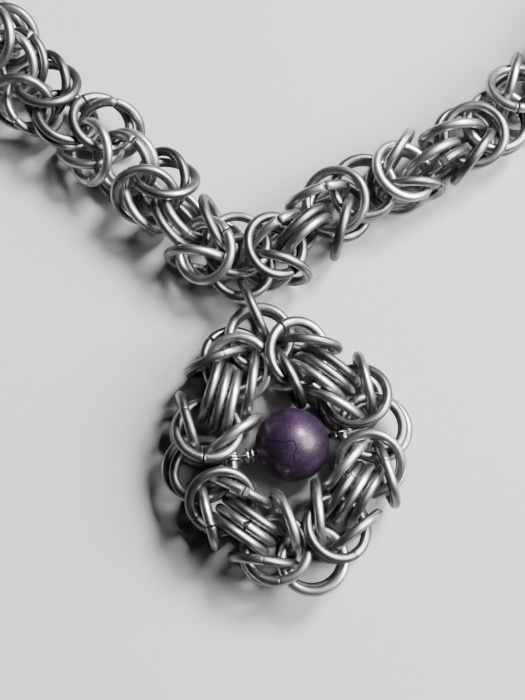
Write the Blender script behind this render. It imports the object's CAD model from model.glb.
import math

import bmesh
import bpy
import numpy as np
from mathutils import Matrix, Vector


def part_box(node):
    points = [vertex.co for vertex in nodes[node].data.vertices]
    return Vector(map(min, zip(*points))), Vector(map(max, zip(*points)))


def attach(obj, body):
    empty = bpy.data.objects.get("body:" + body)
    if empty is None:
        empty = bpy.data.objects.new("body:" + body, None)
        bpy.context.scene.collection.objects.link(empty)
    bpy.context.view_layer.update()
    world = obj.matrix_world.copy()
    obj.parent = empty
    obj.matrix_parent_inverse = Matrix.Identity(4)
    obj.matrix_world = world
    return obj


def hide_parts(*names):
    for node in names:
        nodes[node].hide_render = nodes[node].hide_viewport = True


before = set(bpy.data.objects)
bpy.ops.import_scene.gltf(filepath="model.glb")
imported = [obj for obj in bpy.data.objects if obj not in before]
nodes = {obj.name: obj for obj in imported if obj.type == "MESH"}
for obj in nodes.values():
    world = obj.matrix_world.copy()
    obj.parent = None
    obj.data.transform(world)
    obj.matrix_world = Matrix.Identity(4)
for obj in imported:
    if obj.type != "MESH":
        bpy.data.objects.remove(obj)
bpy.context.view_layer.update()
mm = 0.001
samePoint = 1e-6      # m, points nearer than this are merged


# Small helpers

def hexColour(code):
    # sRGB hex to the linear values that Blender works in
    out = []
    for k in (0, 2, 4):
        c = int(code[k:k + 2], 16) / 255
        out.append(c / 12.92 if c <= 0.04045 else ((c + 0.055) / 1.055) ** 2.4)
    return (*out, 1.0)


def plugIn(tree, node, **links):
    # values or sockets for a node's inputs, by their names or as input0, input1 and so on
    for name, value in links.items():
        key = name.replace("_", " ")
        socket = node.inputs[int(key[5:])] if key.startswith("input") else node.inputs[key]
        if isinstance(value, bpy.types.NodeSocket):
            tree.links.new(value, socket)
        else:
            socket.default_value = value


def addNode(tree, kind, settings=None, **links):
    # settings are the node's own properties, or the stops of a colour ramp
    node = tree.nodes.new(kind)
    for name, value in (settings or {}).items():
        if name == "stops":
            marks = node.color_ramp.elements
            while len(marks) < len(value):
                marks.new(0.5)
            for mark, (place, tone) in zip(marks, value):
                mark.position = place
                mark.color = hexColour(tone)
        else:
            setattr(node, name, value)
    plugIn(tree, node, **links)
    return node


def newMaterial(name):
    material = bpy.data.materials.new(name)
    material.use_nodes = True
    return material, material.node_tree, material.node_tree.nodes["Principled BSDF"]


def pickOnly(*objects):
    bpy.ops.object.select_all(action="DESELECT")
    for obj in objects:
        obj.select_set(True)
    bpy.context.view_layer.objects.active = objects[0]


def chooseFaces(obj, test):
    # in edit mode: selects the faces that pass the test, by middle, normal and number of corners
    bpy.ops.mesh.select_mode(type="FACE")
    shape = bmesh.from_edit_mesh(obj.data)
    for face in shape.faces:
        face.select_set(bool(test(face.calc_center_median(), face.normal, len(face.verts))))
    bmesh.update_edit_mesh(obj.data)


def chooseOpenEdges():
    bpy.ops.mesh.select_mode(type="EDGE")
    bpy.ops.mesh.select_all(action="DESELECT")
    bpy.ops.mesh.select_non_manifold()


def turnOutwards():
    bpy.ops.mesh.select_all(action="SELECT")
    bpy.ops.mesh.normals_make_consistent(inside=False)


def pointTable(mesh):
    points = np.empty(len(mesh.vertices) * 3)
    mesh.vertices.foreach_get("co", points)
    return points.reshape(-1, 3)


def faceTable(mesh):
    # the faces' middles and normals
    count = len(mesh.polygons)
    centres, facing = np.empty(count * 3), np.empty(count * 3)
    mesh.polygons.foreach_get("center", centres)
    mesh.polygons.foreach_get("normal", facing)
    return centres.reshape(-1, 3), facing.reshape(-1, 3)


def finished(obj, piece, material, slotName, *replaced):
    # the last steps of every piece: name, finish, frame
    obj.name = piece
    obj.data.name = piece
    obj.data.materials.clear()
    obj.data.materials.append(material)
    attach(obj, "root")
    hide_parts(*replaced)
    return obj


def camelName(node):
    words = node.split("_")
    return words[0] + "".join(w.capitalize() for w in words[1:])


# Camera: where the photograph was taken from, almost straight above the pendant
view = {
    "origin": (-1.5447, 56.3488),   # the model's origin seen from the photograph's middle on the table, mm
    "distance": 240.23,             # mm
    "lean": 10.5,                   # degrees off straight down
    "focalPixels": 1454.0,
    "pixelsHigh": 700.0,
    "middlePixel": (262.5, 350),
    "reach": (262, 350),            # pixels from the middle to the edges
    "margin": 45,                   # pixels past the edges where the rings are still made as fine
    "sensor": 36.0,
    "nearest": 0.01,                # m, what is nearer to the camera isn't drawn
}
lean = math.radians(view["lean"])
eye = Vector((
    -view["origin"][0],
    -view["distance"] * math.sin(lean) - view["origin"][1],
    view["distance"] * math.cos(lean))) * mm
bpy.ops.object.camera_add(location=eye, rotation=(lean, 0, 0))
camera = bpy.context.object
camera.name = "photoCamera"
camera.data.sensor_width = view["sensor"]
camera.data.lens = view["focalPixels"] / view["pixelsHigh"] * view["sensor"]
camera.data.clip_start = view["nearest"]
bpy.context.scene.camera = camera
print("camera at", [round(v, 4) for v in eye])


# Where the rings are: each ring of a CAD node gives its middle, its normal and the way to its slit
ringSearch = {
    "samePoint": 1e-7,     # m, for the loose triangles of a CAD node
    "cutFacing": 0.98,     # how squarely a face looks along the wire when it is a cut end
    "notRings": ("bead", "bead_binding_wire", "clasp_link"),
}


def ringPlaces(node):
    probe = node.copy()
    probe.data = node.data.copy()
    bpy.context.scene.collection.objects.link(probe)
    probe.parent = None
    pickOnly(probe)
    bpy.ops.object.mode_set(mode="EDIT")
    bpy.ops.mesh.select_all(action="SELECT")
    bpy.ops.mesh.remove_doubles(threshold=ringSearch["samePoint"])
    bpy.ops.mesh.separate(type="LOOSE")
    bpy.ops.object.mode_set(mode="OBJECT")
    places = []
    for part in list(bpy.context.selected_objects):
        points = pointTable(part.data)
        spread = points - points.mean(0)
        axes = np.linalg.svd(spread, full_matrices=False)[2]
        # the circle that fits best in the ring's own plane
        flat = spread @ axes[:2].T
        fit = np.linalg.lstsq(np.c_[2 * flat, np.ones(len(flat))], (flat ** 2).sum(1), rcond=None)[0]
        rise = spread @ axes[2]
        middle = points.mean(0) + fit[:2] @ axes[:2] + (rise.max() + rise.min()) / 2 * axes[2]
        centres, facing = faceTable(part.data)
        arm = centres - middle
        arm -= (arm @ axes[2])[:, None] * axes[2]
        arm /= np.linalg.norm(arm, axis=1, keepdims=True)
        along = np.cross(axes[2], arm)
        cut = np.abs((facing * along).sum(1)) > ringSearch["cutFacing"]
        places.append((Vector(middle), Vector(axes[2]), Vector(arm[cut].mean(0)).normalized()))
        bpy.data.objects.remove(part)
    return places


ringNodes = [n for n in nodes if n not in ringSearch["notRings"]]
ringsAt = {n: ringPlaces(nodes[n]) for n in ringNodes}
print("rings found:", sum(len(p) for p in ringsAt.values()))


# Materials

def drawnSteel():
    # stainless spring wire, drawn and left satin: fine lines run along it and spread the shine across it
    look = {
        "tones": ((0.38, "2e2e30"), (0.56, "656466"), (0.78, "cccbca")),
        "linesPerMm": 2.6,           # the real lines are nearer 15 to the millimetre, too fine to show
        "lineStretch": 0.035,
        "lineDepth": 0.012,          # mm
        "patchPerMm": 0.32,          # handling marks
        "patchShare": 0.35,
        "ringSpread": 0.16,          # how much the tone differs from ring to ring
        "dullWhere": 0.3, "dull": 0.47, "shinyWhere": 0.7, "shiny": 0.32,
        "cut": "a9a8a7", "cutRough": 0.55,
    }
    material, tree, shader = newMaterial("drawnSteelWire")
    along = addNode(tree, "ShaderNodeAttribute", {"attribute_name": "wirePath"}).outputs["Vector"]
    ringTone = addNode(tree, "ShaderNodeAttribute", {"attribute_name": "ringTone"}).outputs["Fac"]
    stretched = addNode(tree, "ShaderNodeMapping", Vector=along, Scale=(1, 1, look["lineStretch"]))
    lines = addNode(
        tree, "ShaderNodeTexNoise", Vector=stretched.outputs["Vector"], Scale=look["linesPerMm"],
        Detail=5.0, Roughness=0.62).outputs["Fac"]
    patches = addNode(
        tree, "ShaderNodeTexNoise", Vector=along, Scale=look["patchPerMm"],
        Detail=4.0, Roughness=0.55).outputs["Fac"]
    marks = addNode(
        tree, "ShaderNodeMix", {"data_type": "FLOAT"},
        input0=look["patchShare"], input2=lines, input3=patches).outputs[0]
    tone = addNode(
        tree, "ShaderNodeMath", {"operation": "MULTIPLY_ADD"},
        input0=ringTone, input1=look["ringSpread"], input2=marks).outputs[0]
    base = addNode(tree, "ShaderNodeValToRGB", {"stops": look["tones"]}, Fac=tone).outputs["Color"]
    rough = addNode(
        tree, "ShaderNodeMapRange", Value=marks, From_Min=look["dullWhere"], From_Max=look["shinyWhere"],
        To_Min=look["dull"], To_Max=look["shiny"]).outputs["Result"]
    # the cutter leaves its faces paler and torn
    cut = addNode(tree, "ShaderNodeAttribute", {"attribute_name": "cutFace"}).outputs["Fac"]
    surface = addNode(
        tree, "ShaderNodeMix", {"data_type": "RGBA"},
        input0=cut, input6=base, input7=hexColour(look["cut"]))
    torn = addNode(
        tree, "ShaderNodeMix", {"data_type": "FLOAT"}, input0=cut, input2=rough, input3=look["cutRough"])
    bump = addNode(tree, "ShaderNodeBump", Strength=0.5, Distance=look["lineDepth"] * mm, Height=lines)
    plugIn(
        tree, shader, Base_Color=surface.outputs[2], Metallic=1.0, Roughness=torn.outputs[0],
        Normal=bump.outputs["Normal"])
    return material


def brightWire():
    # soft stainless binding wire, thin and bright from the spool
    look = {"tones": ((0.3, "8f8c8c"), (0.7, "c4c1bf")), "grimePerMm": 0.9, "rough": 0.26}
    material, tree, shader = newMaterial("brightBindingWire")
    place = addNode(tree, "ShaderNodeTexCoord").outputs["Object"]
    grime = addNode(tree, "ShaderNodeTexNoise", Vector=place, Scale=look["grimePerMm"] / mm, Detail=3.0)
    base = addNode(tree, "ShaderNodeValToRGB", {"stops": look["tones"]}, Fac=grime.outputs["Fac"])
    plugIn(tree, shader, Base_Color=base.outputs["Color"], Metallic=1.0, Roughness=look["rough"])
    return material


def lineDistance(tree, place, start, way):
    # how far a place is from the straight line that runs a way from its start
    arm = addNode(
        tree, "ShaderNodeVectorMath", {"operation": "SUBTRACT"}, input0=place, input1=start).outputs[0]
    share = addNode(
        tree, "ShaderNodeVectorMath", {"operation": "DOT_PRODUCT"},
        input0=arm, input1=way / way.length_squared).outputs["Value"]
    share = addNode(tree, "ShaderNodeClamp", Value=share).outputs[0]
    foot = addNode(tree, "ShaderNodeVectorMath", {"operation": "SCALE"}, input0=way, Scale=share).outputs[0]
    return addNode(
        tree, "ShaderNodeVectorMath", {"operation": "DISTANCE"}, input0=arm, input1=foot).outputs["Value"]


def dyedStone(middle):
    # dyed howlite or magnesite: violet, cloudy, with a web of dark veins where the dye has gathered, satin
    # polished, so that its highlight is soft
    look = {
        "tones": ((0.38, "0a060e"), (0.52, "160e1c"), (0.70, "2b1e2e")),
        "vein": "070409", "sheen": "e6c6dc",
        "cloudSize": 5.0,               # mm
        "grain": 0.27,                  # mm
        "grainShare": 0.3, "grainDepth": 0.05,
        "cellSize": 5.2,                # mm between the faint veins
        "warp": 1.0, "warpSize": 2.6,   # mm that the faint veins wander, and over what length
        "faintWidth": 0.055,            # share of a cell
        "faint": 0.35, "dark": 0.85,    # strength of the faint and of the dark veins
        "darkInside": 0.04, "darkOutside": 0.25,    # mm from a dark vein's middle, where it fades
        "shake": 0.5, "shakeSize": 0.9,             # mm that the dark veins wander, and over what length
        "veinDepth": 0.03,
        # the dark veins as they show from above: mm to the right of the bead's middle and up the picture
        "darkVeins": (
            ((-4.2, 0.1), (-1.6, 0.2), (0.0, 0.6), (0.6, -0.2), (0.6, -1.5), (0.7, -2.6)),
            ((0.6, -0.2), (1.4, 0.3)),
            ((2.5, 1.8), (4.4, 3.3)),
            ((-3.4, -3.3), (-1.8, -3.7), (-0.6, -3.3))),
        "dullWhere": 0.35, "dull": 0.50, "shinyWhere": 0.65, "shiny": 0.34,
        "specular": 0.32, "coat": 0.13, "coatRough": 0.16,
    }
    material, tree, shader = newMaterial("dyedVioletStone")
    place = addNode(tree, "ShaderNodeTexCoord").outputs["Object"]
    clouds = addNode(
        tree, "ShaderNodeTexNoise", Vector=place, Scale=1 / (look["cloudSize"] * mm),
        Detail=4.0, Roughness=0.6).outputs["Fac"]
    grain = addNode(
        tree, "ShaderNodeTexNoise", Vector=place, Scale=1 / (look["grain"] * mm), Detail=2.0).outputs["Fac"]
    mottled = addNode(
        tree, "ShaderNodeMix", {"data_type": "FLOAT"},
        input0=look["grainShare"], input2=clouds, input3=grain).outputs[0]
    body = addNode(tree, "ShaderNodeValToRGB", {"stops": look["tones"]}, Fac=mottled).outputs["Color"]

    # the faint veins are the edges of bent cells
    wander = addNode(
        tree, "ShaderNodeTexNoise", Vector=place, Scale=1 / (look["warpSize"] * mm), Detail=3.0)
    bent = addNode(
        tree, "ShaderNodeVectorMath", {"operation": "MULTIPLY_ADD"},
        input0=wander.outputs["Color"], input1=(look["warp"] * mm,) * 3, input2=place)
    cells = addNode(
        tree, "ShaderNodeTexVoronoi", {"feature": "DISTANCE_TO_EDGE"},
        Vector=bent.outputs[0], Scale=1 / (look["cellSize"] * mm))
    faint = addNode(
        tree, "ShaderNodeMapRange", {"interpolation_type": "SMOOTHSTEP"}, Value=cells.outputs["Distance"],
        From_Min=0.0, From_Max=look["faintWidth"], To_Min=look["faint"], To_Max=0.0)

    # the stone as it is seen from the camera, in mm from its middle, for the dark veins
    toEye = (eye - middle).normalized().to_track_quat("Z", "Y").to_euler()
    seen = addNode(
        tree, "ShaderNodeMapping", {"vector_type": "TEXTURE"},
        Vector=place, Location=middle, Rotation=toEye, Scale=(mm, mm, 1000))
    shaken = addNode(
        tree, "ShaderNodeTexNoise", Vector=place, Scale=1 / (look["shakeSize"] * mm), Detail=2.0)
    drawn = addNode(
        tree, "ShaderNodeVectorMath", {"operation": "MULTIPLY_ADD"}, input0=shaken.outputs["Color"],
        input1=(look["shake"], look["shake"], 0), input2=seen.outputs["Vector"])
    # the noise is a half on average, so the lines are moved along by half the shake
    meanShake = Vector((look["shake"] / 2, look["shake"] / 2, 0))
    nearest = None
    for line in look["darkVeins"]:
        for first, last in zip(line, line[1:]):
            start = Vector((*first, 0)) + meanShake
            way = Vector((*last, 0)) - Vector((*first, 0))
            away = lineDistance(tree, drawn.outputs[0], start, way)
            if nearest:
                away = addNode(
                    tree, "ShaderNodeMath", {"operation": "MINIMUM"},
                    input0=away, input1=nearest).outputs[0]
            nearest = away
    dark = addNode(
        tree, "ShaderNodeMapRange", {"interpolation_type": "SMOOTHSTEP"}, Value=nearest,
        From_Min=look["darkInside"], From_Max=look["darkOutside"], To_Min=look["dark"], To_Max=0.0)
    vein = addNode(
        tree, "ShaderNodeMath", {"operation": "MAXIMUM"},
        input0=faint.outputs["Result"], input1=dark.outputs["Result"]).outputs[0]
    dyed = addNode(
        tree, "ShaderNodeMix", {"data_type": "RGBA"},
        input0=vein, input6=body, input7=hexColour(look["vein"]))

    rough = addNode(
        tree, "ShaderNodeMapRange", Value=mottled, From_Min=look["dullWhere"], From_Max=look["shinyWhere"],
        To_Min=look["dull"], To_Max=look["shiny"])
    worn = addNode(tree, "ShaderNodeBump", Strength=0.8, Distance=look["grainDepth"] * mm, Height=grain)
    cracked = addNode(
        tree, "ShaderNodeBump", {"invert": True}, Strength=0.6, Distance=look["veinDepth"] * mm,
        Height=vein, Normal=worn.outputs["Normal"])
    plugIn(
        tree, shader, Base_Color=dyed.outputs[2], Roughness=rough.outputs["Result"],
        Normal=cracked.outputs["Normal"], IOR=1.5, Specular_IOR_Level=look["specular"],
        Specular_Tint=hexColour(look["sheen"]), Coat_Weight=look["coat"], Coat_Roughness=look["coatRough"])
    return material


steelWire = drawnSteel()
bindingWire = brightWire()
low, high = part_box("bead")
beadMiddle = (low + high) / 2
violetStone = dyedStone(beadMiddle)
print("materials made")


# Jump ring: round wire wound once and cut. One model for each way that its ends came out
jumpRing = {
    "wire": 1.6, "inner": 8.2,              # mm
    "slit": 0.22,                           # mm between the ends
    "tightSlit": 0.7, "openSlit": 1.35,     # as shares of the usual slit
    "endRound": 0.08,                       # the cutter leaves a small round edge
    "shutSlit": 0.04, "shutRound": 0.02,    # a ring that is closed so well that its slit hardly shows
    "pinch": 52.0,                          # degrees that a pinched facet leans off the cut
    "pinchReach": 2.2,                      # mm of wire beside the slit that a facet can cut
    "facetFacing": 0.9,                     # a cut face that looks less squarely along the wire is a facet
    "roundSteps": 2,
    "nearSteps": 96, "nearSides": 20,
    "farSteps": 54, "farSides": 14,
    "smoothUnder": 32,                      # degrees
    "wirePerRing": 53.0,                    # mm, more than one ring takes, so that no two share a stretch
    "toneStep": 0.618,                      # spreads the rings' tones evenly
}
ringRadius = (jumpRing["inner"] + jumpRing["wire"]) / 2 * mm
wireRadius = jumpRing["wire"] / 2 * mm


def pinchEnd(ring, half, end, turn, reach):
    # cuts a facet off one end of the wire
    cutLine = Vector((0, -end, 0))
    look = Vector((math.cos(math.radians(turn)), 0, math.sin(math.radians(turn))))
    slope = math.radians(jumpRing["pinch"])
    chooseFaces(ring, lambda c, n, corners: c.x > 0 and 0 < c.y * end < jumpRing["pinchReach"] * mm)
    bpy.ops.mesh.bisect(
        plane_co=Vector((ringRadius, end * half * ringRadius, 0)) + look * reach * mm,
        plane_no=cutLine * math.cos(slope) + look * math.sin(slope), clear_outer=True)
    chooseOpenEdges()
    bpy.ops.mesh.remove_doubles(threshold=samePoint)
    bpy.ops.mesh.edge_face_add()
    turnOutwards()


def ringModel(name, fineness, slit, step, pinched=(), endRound=jumpRing["endRound"]):
    # step: mm that the ends lie out of flat. pinched: for each facet the end (1 or -1), the way it looks in
    # degrees round the wire from outward, and where it starts, in mm from the wire's middle
    steps, sides = fineness
    half = slit * mm / ringRadius / 2
    start = (ringRadius * math.cos(half), ringRadius * math.sin(half), 0)
    bpy.ops.object.select_all(action="DESELECT")
    bpy.ops.mesh.primitive_circle_add(
        vertices=sides, radius=wireRadius, location=start, rotation=(math.pi / 2, 0, half))
    ring = bpy.context.object
    ring.name = name
    bpy.ops.object.transform_apply(location=True, rotation=True, scale=True)
    bpy.ops.object.mode_set(mode="EDIT")
    bpy.ops.mesh.select_all(action="SELECT")
    bpy.ops.mesh.spin(steps=steps, angle=2 * math.pi - 2 * half, center=(0, 0, 0), axis=(0, 0, 1))
    bpy.ops.mesh.select_all(action="SELECT")
    bpy.ops.mesh.fill_holes(sides=0)
    bpy.ops.mesh.normals_make_consistent(inside=False)
    for end, turn, reach in pinched:
        pinchEnd(ring, half, end, turn, reach)
    # the wire's side is all four-cornered faces, its ends aren't
    chooseFaces(ring, lambda c, n, corners: corners > 4)
    bpy.ops.mesh.bevel(offset=endRound * mm, segments=jumpRing["roundSteps"], affect="EDGES")
    turnOutwards()
    bpy.ops.object.mode_set(mode="OBJECT")
    mesh = ring.data
    points = pointTable(mesh)
    turn = np.arctan2(points[:, 1], points[:, 0]) % (2 * math.pi)
    # the wire's own coordinates, in mm: across it twice, and along it
    out = (np.hypot(points[:, 0], points[:, 1]) - ringRadius) / mm
    path = np.stack([out, points[:, 2] / mm, turn * ringRadius / mm], 1)
    # a ring closes a hair out of flat, like one turn of a spring
    points[:, 2] += (turn / (2 * math.pi) - 0.5) * step * mm
    mesh.vertices.foreach_set("co", points.ravel())
    mesh.attributes.new("wirePath", "FLOAT_VECTOR", "POINT").data.foreach_set("vector", path.ravel())
    mesh.attributes.new("ringTone", "FLOAT", "POINT")
    facets = [
        float(len(face.vertices) > 4 and abs(face.normal.y) < jumpRing["facetFacing"])
        for face in mesh.polygons]
    mesh.attributes.new("cutFace", "FLOAT", "FACE").data.foreach_set("value", facets)
    pickOnly(ring)
    bpy.ops.object.shade_smooth_by_angle(angle=math.radians(jumpRing["smoothUnder"]))
    return ring


near = (jumpRing["nearSteps"], jumpRing["nearSides"])
far = (jumpRing["farSteps"], jumpRing["farSides"])
usual = jumpRing["slit"]
ringModels = {
    "flush": ringModel("ringFlush", near, usual, 0.05),
    "tight": ringModel("ringTight", near, usual * jumpRing["tightSlit"], -0.04),
    "open": ringModel("ringOpen", near, usual * jumpRing["openSlit"], -0.1),
    "pinched": ringModel("ringPinched", near, usual, 0.08, ((1, 20, 0.4),)),
    "shut": ringModel("ringShut", near, jumpRing["shutSlit"], 0.02, endRound=jumpRing["shutRound"]),
    "far": ringModel("ringFar", far, usual, 0.04),
}
# the rings just outside the picture take these in turn
besidePhoto = ("flush", "tight", "flush", "pinched", "flush", "open", "tight")
print("ring models:", {n: len(r.data.polygons) for n, r in ringModels.items()})

# Pixels of the photograph where a slit shows
slitsShown = (
    (282, 325), (265, 351), (208, 340), (205, 455), (213, 523), (242, 491), (248, 522), (243, 417),
    (294, 272), (276, 215), (325, 183), (437, 184), (443, 163), (516, 108), (228, 232), (202, 263),
    (133, 143), (80, 98), (113, 105), (33, 38), (13, 120),
)
# Facets that the cutter left beside a slit, as they show: the slit's pixel, the side that the facet is on
# in the picture, and where it starts, in mm from the wire's middle
facetsShown = (
    ((242, 491), (5, 2), -0.15), ((325, 183), (-6, 1), 0.05), ((443, 163), (5, -1), 0.1),
    ((276, 215), (-4, 2), 0.1), ((133, 143), (-5, -4), 0.3), ((33, 38), (-5, -4), 0.2),
    ((228, 232), (-3, -5), 0.5), ((294, 272), (5, -2), 0.45), ((248, 522), (-4, -4), 0.45),
    ((437, 184), (5, 0), 0.5), ((205, 455), (-5, 1), 0.62),
)
matching = {
    "slit": 12, "facet": 9,    # most pixels from a modelled slit to the photographed one it stands for
    "endOn": 0.8,              # a facet is left out where the wire points nearer to the camera than this
}


def photoSpot(point):
    # pixels of the photograph from its middle, to the right and down
    local = camera.matrix_world.inverted() @ point
    return Vector((local.x, -local.y)) / -local.z * view["focalPixels"]


def missBy(point, pixel):
    return (photoSpot(point) + Vector(view["middlePixel"]) - Vector(pixel)).length


def seenInPhoto(point, margin=0):
    return all(abs(side) < reach + margin for side, reach in zip(photoSpot(point), view["reach"]))


def facetOf(cut, axis, slitWay):
    # the facet of a ring whose slit shows beside one of the photographed ones, turned to be seen
    for slitPixel, sideWay, reach in facetsShown:
        if missBy(cut, slitPixel) < matching["facet"]:
            side = axis.cross(slitWay)
            end = 1 if (photoSpot(cut + side * mm) - photoSpot(cut)).dot(Vector(sideWay)) > 0 else -1
            toEye = eye - cut
            turn = math.degrees(math.atan2(toEye.dot(axis), toEye.dot(slitWay)))
            if abs(toEye.normalized().dot(side)) < matching["endOn"]:
                return end, turn, reach
    return None


def kindOf(k, middle, cut):
    # inside the picture a ring's slit shows where the photograph has one, and nowhere else
    if seenInPhoto(middle):
        return "open" if any(missBy(cut, pixel) < matching["slit"] for pixel in slitsShown) else "shut"
    return besidePhoto[k % len(besidePhoto)] if seenInPhoto(middle, view["margin"]) else "far"


def layRings(piece, node, places, firstNumber):
    # copies of the ring models, each with its own mesh, laid where the node's rings are and joined
    laid = []
    for k, (middle, axis, slitWay) in enumerate(places, firstNumber):
        cut = middle + slitWay * ringRadius
        facet = facetOf(cut, axis, slitWay)
        model = ringModels[kindOf(k, middle, cut)]
        if facet:
            model = ringModel("ringFacet", near, usual, 0.05, (facet,))
            ringModels[f"facet{k}"] = model
        elif k % 2:
            axis = -axis
        turn = Matrix((slitWay, axis.cross(slitWay), axis)).transposed().to_4x4()
        mesh = model.data.copy()
        mesh.transform(Matrix.Translation(middle) @ turn)
        path = np.empty(len(mesh.vertices) * 3)
        mesh.attributes["wirePath"].data.foreach_get("vector", path)
        path = path.reshape(-1, 3) + [0, 0, jumpRing["wirePerRing"] * k]
        mesh.attributes["wirePath"].data.foreach_set("vector", path.ravel())
        tone = np.full(len(mesh.vertices), (k * jumpRing["toneStep"]) % 1.0, np.float32)
        mesh.attributes["ringTone"].data.foreach_set("value", tone)
        ring = bpy.data.objects.new(f"{piece}_{k}", mesh)
        bpy.context.scene.collection.objects.link(ring)
        laid.append(ring)
    pickOnly(*laid)
    if len(laid) > 1:
        bpy.ops.object.join()
    return finished(bpy.context.view_layer.objects.active, piece, steelWire, "steel", node)


bpy.context.view_layer.update()
ringsLaid = 0
for node in ringNodes:
    pieces = {camelName(node): ringsAt[node]}
    if node.startswith("neck_chain"):
        pieces = {
            camelName(node) + "Front": [p for p in ringsAt[node] if seenInPhoto(p[0], view["margin"])],
            camelName(node) + "Back": [p for p in ringsAt[node] if not seenInPhoto(p[0], view["margin"])],
        }
    for piece, places in pieces.items():
        layRings(piece, node, places, ringsLaid)
        ringsLaid += len(places)
for model in ringModels.values():
    bpy.data.objects.remove(model)
print("rings laid:", ringsLaid)


# Bead: a drilled ball of dyed stone
beadSizes = {
    "diameter": 11.8, "hole": 1.2,    # mm
    "around": 96, "rows": 64,
    "smoothUnder": 40,                # degrees
}


def boreDirection(node, middle):
    # the drilled wall is all that faces the ball's own middle
    centres, facing = faceTable(node.data)
    arm = centres - middle
    inward = (arm * facing).sum(1) < 0
    way = np.linalg.svd(arm[inward], full_matrices=False)[2][0]
    return Vector(way if way[0] > 0 else -way)


bore = boreDirection(nodes["bead"], np.array(beadMiddle))
bpy.ops.object.select_all(action="DESELECT")
bpy.ops.mesh.primitive_uv_sphere_add(
    segments=beadSizes["around"], ring_count=beadSizes["rows"], radius=beadSizes["diameter"] / 2 * mm,
    location=beadMiddle, rotation=bore.to_track_quat("Z", "Y").to_euler())
bead = bpy.context.object
bpy.ops.object.transform_apply(location=True, rotation=True, scale=True)
bpy.ops.object.mode_set(mode="EDIT")
holeRadius = beadSizes["hole"] / 2 * mm
chooseFaces(bead, lambda c, n, corners: (c - beadMiddle).cross(bore).length < holeRadius)
bpy.ops.mesh.delete(type="FACE")
chooseOpenEdges()
bpy.ops.mesh.bridge_edge_loops()
turnOutwards()
bpy.ops.object.mode_set(mode="OBJECT")
bpy.ops.object.shade_smooth_by_angle(angle=math.radians(beadSizes["smoothUnder"]))
finished(bead, "stoneBead", violetStone, "violet_stone", "bead")
print("bead made")


# Binding wire: through the bead, coiled at its left, wrapped on the corner rings
tie = {
    "wire": 0.4, "gap": 0.12,              # mm
    "coilOuter": 2.6, "coilTurns": 2.05, "coilPitch": 0.8,
    "coilStart": 0.6,                      # mm from the bead to the first turn
    "coilFlat": 0.25,                      # share of the pitch that a turn climbs on its way round
    "coilTail": 0.35, "coilTuck": 0.9,     # mm that the end runs on, share of the radius that it turns in
    "coreBend": 0.55, "coreShift": 0.2,    # the core's bend: share of the way to the bead, mm past that
    "fork": 0.9,                           # mm between the two strands at the right ring
    "forkHalfway": 0.6, "forkTip": 0.5,    # how wide the fork is there, as shares of it
    "wrapTurns": 2.5, "wrapPitch": 0.5,
    "turnSteps": 12, "loopSteps": 14,
    "smoothUnder": 50,                     # degrees
}
loop = (jumpRing["wire"] / 2 + tie["gap"] + tie["wire"] / 2) * mm
coilRadius = (tie["coilOuter"] - tie["wire"]) / 2 * mm


def nearestOnRing(place, target):
    # where a ring's wire is nearest to a point, the way along the wire there, and the way outward
    middle, axis, _ = place
    reach = target - middle
    out = (reach - axis * reach.dot(axis)).normalized()
    return middle + out * ringRadius, axis.cross(out), out


def wireAlong(name, points, closed=False):
    # a strand of round wire through a few points
    curve = bpy.data.curves.new(name, "CURVE")
    curve.dimensions = "3D"
    curve.bevel_depth = tie["wire"] / 2 * mm
    curve.bevel_resolution = 3
    curve.use_fill_caps = not closed
    curve.resolution_u = 4
    spline = curve.splines.new("NURBS")
    spline.points.add(len(points) - 1)
    for point, place in zip(spline.points, points):
        point.co = (*place, 1)
    spline.order_u = 3
    spline.use_endpoint_u = not closed
    spline.use_cyclic_u = closed
    strand = bpy.data.objects.new(name, curve)
    bpy.context.scene.collection.objects.link(strand)
    pickOnly(strand)
    bpy.ops.object.convert(target="MESH")
    return bpy.context.object


def stackFromTop(*ringNames):
    # the places of a lying stack's rings, the highest first
    return sorted((ringsAt[name][0] for name in ringNames), key=lambda p: -p[0].z)


leftRing = stackFromTop("corner_left_ring_1", "corner_left_ring_2")[0]
rightRing, rightBelow = stackFromTop("corner_right_ring_1", "corner_right_ring_2")
leftHold, leftAlong, leftOut = nearestOnRing(leftRing, beadMiddle)
rightHold, rightAlong, rightOut = nearestOnRing(rightRing, beadMiddle)
belowHold = nearestOnRing(rightBelow, beadMiddle)[0]
run = (rightHold - leftHold).normalized()
upright = Vector((0, 0, 1))
upright = (upright - run * upright.dot(run)).normalized()
sideways = run.cross(upright)
beadLeft = beadMiddle - run * beadSizes["diameter"] / 2 * mm
beadRight = beadMiddle + run * beadSizes["diameter"] / 2 * mm


def coreLine():
    # from the wrap on the left ring, through the bead, out to the right ring and back into the bead
    bight = rightHold + rightOut * loop
    half = rightAlong * tie["fork"] / 2 * mm
    halfway = beadRight.lerp(bight, 0.5)
    return [
        leftHold + leftOut * loop,
        leftHold.lerp(beadLeft, tie["coreBend"]) + run * tie["coreShift"] * mm,
        beadLeft, beadMiddle, beadRight,
        halfway - half * tie["forkHalfway"], bight - half, bight - half * tie["forkTip"],
        bight + half * tie["forkTip"], bight + half, halfway + half * tie["forkHalfway"],
        beadRight, beadMiddle]


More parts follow.
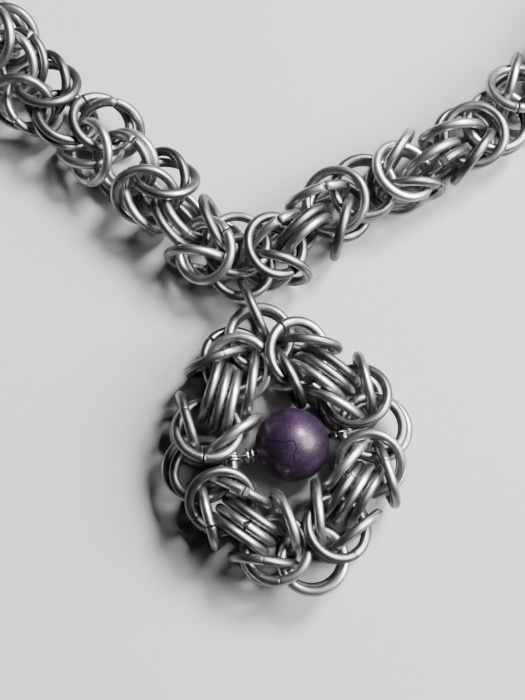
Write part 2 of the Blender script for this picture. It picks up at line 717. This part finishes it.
def coilLine():
    # each turn lies nearly flat and steps to the next one on the side toward the table
    steps = tie["turnSteps"]
    line = []
    for k in range(int(tie["coilTurns"] * steps) + 1):
        turn, part = divmod(k / steps, 1)
        angle = 2 * math.pi * (k / steps + 0.5)
        climbed = tie["coilPitch"] * (turn + tie["coilFlat"] * (part - 0.5))
        heart = beadLeft - run * (tie["coilStart"] + climbed) * mm
        line.append(heart + (upright * math.cos(angle) + sideways * math.sin(angle)) * coilRadius)
    tuck = (line[-1] - heart) * tie["coilTuck"]
    return line + [line[-1] - run * tie["coilTail"] * mm - tuck]


def wrapLine(hold, out, along):
    # turns of wire round the ring's own wire
    steps = tie["turnSteps"]
    rise = out.cross(along)
    line = []
    for k in range(int(tie["wrapTurns"] * steps) + 1):
        angle = 2 * math.pi * k / steps
        shift = tie["wrapPitch"] * (k / steps - tie["wrapTurns"] / 2)
        line.append(hold + along * shift * mm + (out * math.cos(angle) + rise * math.sin(angle)) * loop)
    return line


def loopLine():
    # once round both rings of the right corner
    pairMiddle = rightHold.lerp(belowHold, 0.5)
    stack = (rightHold - belowHold) / 2
    up = stack.normalized()
    line = []
    for k in range(tie["loopSteps"]):
        angle = 2 * math.pi * k / tie["loopSteps"]
        bulge = stack * (1 if math.cos(angle) > 0 else -1)
        line.append(pairMiddle + bulge + (up * math.cos(angle) + rightOut * math.sin(angle)) * loop)
    return line


strands = [
    wireAlong("tieCore", coreLine()),
    wireAlong("tieCoil", coilLine()),
    wireAlong("tieWraps", wrapLine(leftHold, leftOut, leftAlong)),
    wireAlong("tieLoop", loopLine(), closed=True),
]
pickOnly(*strands)
bpy.ops.object.join()
bpy.ops.object.mode_set(mode="EDIT")
bpy.ops.mesh.select_all(action="SELECT")
bpy.ops.mesh.remove_doubles(threshold=samePoint)
bpy.ops.mesh.normals_make_consistent(inside=False)
bpy.ops.object.mode_set(mode="OBJECT")
bpy.ops.object.shade_smooth_by_angle(angle=math.radians(tie["smoothUnder"]))
finished(bpy.context.object, "beadBindingWire", bindingWire, "binding_wire", "bead_binding_wire")
print("binding wire made")


# Clasp: one plain oval link of the same wire at the back
clasp = {
    "length": 20.0, "width": 10.5, "wire": 1.6,    # mm
    "around": 64, "sides": 20,
}


def ovalLink(node):
    # a torus with its halves drawn apart, laid where the node is
    points = pointTable(node.data)
    boxMiddle = (points.max(0) + points.min(0)) / 2
    spread = points - boxMiddle
    axes = np.linalg.svd(spread, full_matrices=False)[2]
    reaches = [spread @ axis for axis in axes]
    middle = boxMiddle + sum((r.max() + r.min()) / 2 * axis for r, axis in zip(reaches, axes))
    runWay, upWay = Vector(axes[0]), Vector(axes[2])
    bpy.ops.object.select_all(action="DESELECT")
    bpy.ops.mesh.primitive_torus_add(
        major_segments=clasp["around"], minor_segments=clasp["sides"],
        major_radius=(clasp["width"] - clasp["wire"]) / 2 * mm, minor_radius=clasp["wire"] / 2 * mm)
    link = bpy.context.object
    stretch = (clasp["length"] - clasp["width"]) / 2 * mm
    bpy.ops.object.mode_set(mode="EDIT")
    for sign in (1, -1):
        bpy.ops.mesh.select_mode(type="VERT")
        bpy.ops.mesh.select_all(action="DESELECT")
        shape = bmesh.from_edit_mesh(link.data)
        for vertex in shape.verts:
            vertex.select_set(vertex.co.x * sign > samePoint * sign)
        bmesh.update_edit_mesh(link.data)
        bpy.ops.transform.translate(value=(stretch * sign, 0, 0))
    bpy.ops.object.mode_set(mode="OBJECT")
    mesh = link.data
    path = pointTable(mesh)[:, [1, 2, 0]] / mm
    mesh.attributes.new("wirePath", "FLOAT_VECTOR", "POINT").data.foreach_set("vector", path.ravel())
    mesh.attributes.new("ringTone", "FLOAT", "POINT")
    turn = Matrix((runWay, upWay.cross(runWay), upWay)).transposed().to_4x4()
    mesh.transform(Matrix.Translation(Vector(middle)) @ turn)
    bpy.ops.object.shade_smooth()
    return link


finished(ovalLink(nodes["clasp_link"]), "claspLink", steelWire, "steel", "clasp_link")
print("clasp made")


# Floor and light: a plain pale card, a large soft round light from the right, and a smaller one from the
# upper right that gives the bead its highlight
stageLook = {
    "floorSize": 12.0, "floor": "8b8a88", "floorRough": 0.9,
    "world": "b9bcc4", "worldStrength": 0.02,
    "aim": (0, -0.05, 0),      # m, what the lights are turned to
}
lights = {
    "softbox": {"way": (0.78, 0.06, 0.62), "far": 0.75, "size": 0.55, "watts": 30.0, "colour": "ffffff"},
    "window": {"way": (0.465, 0.485, 0.739), "far": 0.72, "size": 0.22, "watts": 24.0, "colour": "ffffff"},
}
bpy.ops.object.select_all(action="DESELECT")
bpy.ops.mesh.primitive_plane_add(size=stageLook["floorSize"], location=(0, 0, 0))
floor = bpy.context.object
floor.name = "floor"
card, cardTree, cardShader = newMaterial("paleCard")
plugIn(cardTree, cardShader, Base_Color=hexColour(stageLook["floor"]), Roughness=stageLook["floorRough"])
floor.data.materials.append(card)
for name, lamp in lights.items():
    way = Vector(lamp["way"]).normalized()
    bpy.ops.object.light_add(
        type="AREA", location=way * lamp["far"] + Vector(stageLook["aim"]),
        rotation=way.to_track_quat("Z", "Y").to_euler())
    light = bpy.context.object
    light.name = name
    light.data.shape = "DISK"
    light.data.size = lamp["size"]
    light.data.energy = lamp["watts"]
    light.data.color = hexColour(lamp["colour"])[:3]
world = bpy.context.scene.world or bpy.data.worlds.new("world")
bpy.context.scene.world = world
world.use_nodes = True
plugIn(
    world.node_tree, world.node_tree.nodes["Background"],
    Color=hexColour(stageLook["world"]), Strength=stageLook["worldStrength"])
print("stage set")
